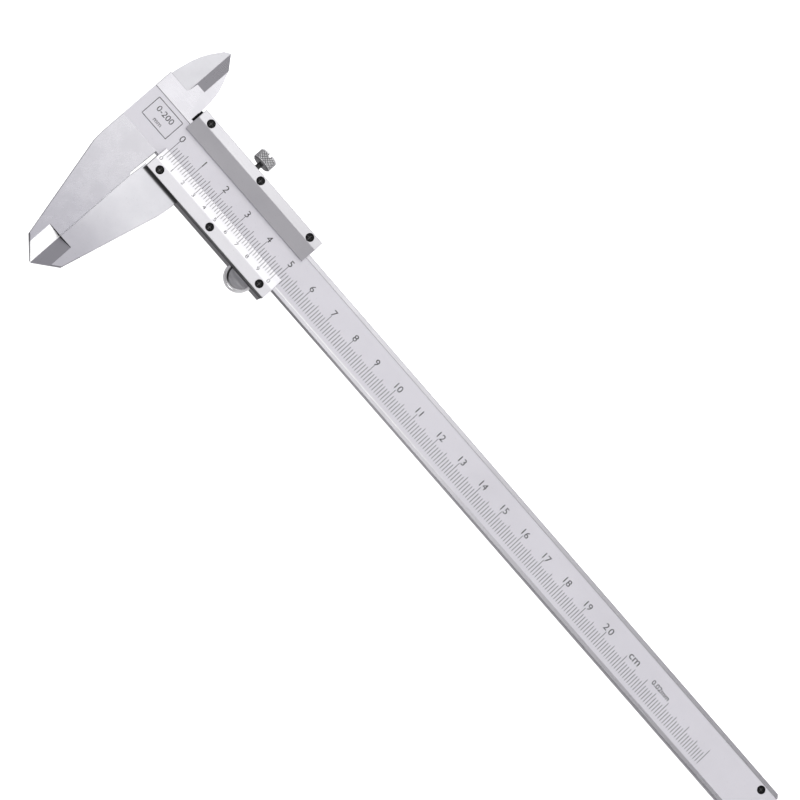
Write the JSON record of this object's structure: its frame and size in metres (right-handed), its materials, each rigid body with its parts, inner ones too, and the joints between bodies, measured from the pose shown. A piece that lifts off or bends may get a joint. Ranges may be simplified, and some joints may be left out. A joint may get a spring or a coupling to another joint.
{
  "type": "vernier caliper",
  "caption": "Metric vernier caliper with outside jaws, crossed inside jaws, sliding vernier, lock screw, thumb rest and depth rod.",
  "frame": {"origin": "under the zero graduation, on the beam's centre line, in the plane of the slider's back face", "axes": "+X along the beam towards its tail, +Y towards the inside jaws, +Z out of the graduated face"},
  "size_m": [0.294, 0.0883, 0.0082],
  "materials": {
    "beam_steel": "satin chrome band between ground rails",
    "slider_steel": "ground",
    "plate_steel": "satin chrome",
    "blued_steel": "black oxide",
    "knurled_steel": "knurled, satin",
    "polished_steel": "polished",
    "bronze": "cold rolled",
    "brass": "turned"
  },
  "bodies": {
    "beam_body": {"beam": "beam_steel", "tail_plate": "plate_steel", "tail_plate_screws": "blued_steel"},
    "slider": {"slider_body": "slider_steel", "upper_plate": "plate_steel", "upper_plate_screws": "blued_steel", "vernier_plate": "plate_steel", "vernier_plate_screws": "blued_steel", "gib_strip": "bronze", "thumb_rest": "polished_steel", "thumb_rest_pins": "slider_steel", "depth_rod": "slider_steel", "depth_rod_rivets": "slider_steel"},
    "lock": {"lock_screw": "knurled_steel"},
    "shoe": {"lock_shoe": "brass"}
  },
  "joints": [
    {"name": "slider_travel", "type": "slide", "parent": "beam_body", "child": "slider", "axis": [1, 0, 0], "range_m": [0, 0.205]},
    {"name": "lock_turn", "type": "hinge", "parent": "slider", "child": "lock", "pos_m": [0.0212, 0.015, 0.0038], "axis": [0, 1, 0], "range_deg": [-90, 0]},
    {"name": "shoe_travel", "type": "slide", "parent": "slider", "child": "shoe", "axis": [0, 1, 0], "range_m": [-0.0001125, 0]}
  ],
  "couplings": [
    {"joint": "shoe_travel", "follows": "lock_turn", "m_per_rad": 0.00007162}
  ]
}
